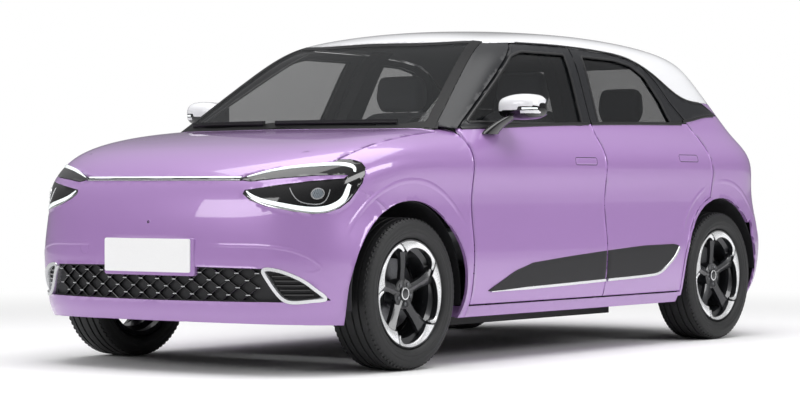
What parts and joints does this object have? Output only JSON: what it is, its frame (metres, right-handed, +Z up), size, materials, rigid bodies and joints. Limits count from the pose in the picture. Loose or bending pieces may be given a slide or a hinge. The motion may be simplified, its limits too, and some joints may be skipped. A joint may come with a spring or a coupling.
{
  "type": "electric hatchback car",
  "caption": "Five-door electric hatchback with hinged doors, hood and tailgate, steered front wheels and a hollow cabin.",
  "frame": {"origin": "on the ground under the middle of the car", "axes": "+X the car's left, -Y its nose, +Z up"},
  "size_m": [2.044, 4.0241, 1.5406],
  "materials": {
    "lilac_pearl": "pearl",
    "white_gloss": "gloss",
    "black_gloss": "gloss",
    "black_matte": "moulded",
    "charcoal_trim": "satin",
    "steel": "cast and pressed",
    "chassis_black": "e-coat",
    "aluminium": "machined",
    "tyre": "moulded",
    "tinted_glass": "tinted",
    "clear_lens": "clear polycarbonate",
    "red_lens": "red acrylic",
    "seat_fabric": "woven"
  },
  "bodies": {
    "body": {"body_shell": "lilac_pearl", "floor_pan": "chassis_black", "front_structure": "chassis_black", "battery_pack": "aluminium", "drive_unit": "aluminium", "suspension": "steel", "arch_liners": "black_matte", "roof_panel": "white_gloss", "pillar_trims": "charcoal_trim", "windscreen": "tinted_glass", "cowl": "black_matte", "front_fenders": "lilac_pearl", "front_bumper": "lilac_pearl", "lower_grille": "black_gloss", "headlamps": "clear_lens", "light_bar": "clear_lens", "rear_bumper": "lilac_pearl", "tail_lamps": "red_lens", "dashboard": "black_matte", "front_seats": "seat_fabric", "rear_seat": "seat_fabric"},
    "hood": {"hood": "lilac_pearl"},
    "tailgate": {"tailgate": "lilac_pearl", "tailgate_glass": "tinted_glass"},
    "steering_wheel": {"steering_wheel": "black_matte"},
    "front_door_left": {"front_door_left": "lilac_pearl", "front_glass_left": "tinted_glass", "mirror_left": "white_gloss"},
    "rear_door_left": {"rear_door_left": "lilac_pearl", "rear_glass_left": "tinted_glass"},
    "knuckle_left": {"knuckle_left": "steel"},
    "front_wheel_left": {"front_wheel_left": "aluminium", "front_tyre_left": "tyre"},
    "rear_wheel_left": {"rear_wheel_left": "aluminium", "rear_tyre_left": "tyre"},
    "front_door_right": {"front_door_right": "lilac_pearl", "front_glass_right": "tinted_glass", "mirror_right": "white_gloss"},
    "rear_door_right": {"rear_door_right": "lilac_pearl", "rear_glass_right": "tinted_glass"},
    "knuckle_right": {"knuckle_right": "steel"},
    "front_wheel_right": {"front_wheel_right": "aluminium", "front_tyre_right": "tyre"},
    "rear_wheel_right": {"rear_wheel_right": "aluminium", "rear_tyre_right": "tyre"}
  },
  "joints": [
    {"name": "front_door_left_hinge", "type": "hinge", "parent": "body", "child": "front_door_left", "pos_m": [0.889, -0.876, 0.6], "axis": [0, 0, -1], "range_deg": [0, 65]},
    {"name": "rear_door_left_hinge", "type": "hinge", "parent": "body", "child": "rear_door_left", "pos_m": [0.8994, 0.212, 0.6], "axis": [0, 0, -1], "range_deg": [0, 65]},
    {"name": "steer_left", "type": "hinge", "parent": "body", "child": "knuckle_left", "pos_m": [0.7, -1.303, 0.324], "axis": [0, 0, 1], "range_deg": [-35, 35]},
    {"name": "front_wheel_left_spin", "type": "hinge", "parent": "knuckle_left", "child": "front_wheel_left", "pos_m": [0.762, -1.303, 0.324], "axis": [1, 0, 0], "continuous": true},
    {"name": "rear_wheel_left_spin", "type": "hinge", "parent": "body", "child": "rear_wheel_left", "pos_m": [0.762, 1.36, 0.324], "axis": [1, 0, 0], "continuous": true},
    {"name": "front_door_right_hinge", "type": "hinge", "parent": "body", "child": "front_door_right", "pos_m": [-0.889, -0.876, 0.6], "axis": [0, 0, 1], "range_deg": [0, 65]},
    {"name": "rear_door_right_hinge", "type": "hinge", "parent": "body", "child": "rear_door_right", "pos_m": [-0.8994, 0.212, 0.6], "axis": [0, 0, 1], "range_deg": [0, 65]},
    {"name": "steer_right", "type": "hinge", "parent": "body", "child": "knuckle_right", "pos_m": [-0.7, -1.303, 0.324], "axis": [0, 0, 1], "range_deg": [-35, 35]},
    {"name": "front_wheel_right_spin", "type": "hinge", "parent": "knuckle_right", "child": "front_wheel_right", "pos_m": [-0.762, -1.303, 0.324], "axis": [1, 0, 0], "continuous": true},
    {"name": "rear_wheel_right_spin", "type": "hinge", "parent": "body", "child": "rear_wheel_right", "pos_m": [-0.762, 1.36, 0.324], "axis": [1, 0, 0], "continuous": true},
    {"name": "hood_hinge", "type": "hinge", "parent": "body", "child": "hood", "pos_m": [0, -0.98, 1.045], "axis": [-1, 0, 0], "range_deg": [0, 55]},
    {"name": "tailgate_hinge", "type": "hinge", "parent": "body", "child": "tailgate", "pos_m": [0, 1.162, 1.5124], "axis": [1, 0, 0], "range_deg": [0, 75]},
    {"name": "steering_wheel_turn", "type": "hinge", "parent": "body", "child": "steering_wheel", "pos_m": [0.365, -0.518, 0.905], "axis": [0, 0.9135, 0.4067], "range_deg": [-500, 500]}
  ],
  "couplings": [
    {"joint": "steer_right", "follows": "steer_left", "ratio": 1},
    {"joint": "steering_wheel_turn", "follows": "steer_left", "ratio": 14}
  ]
}
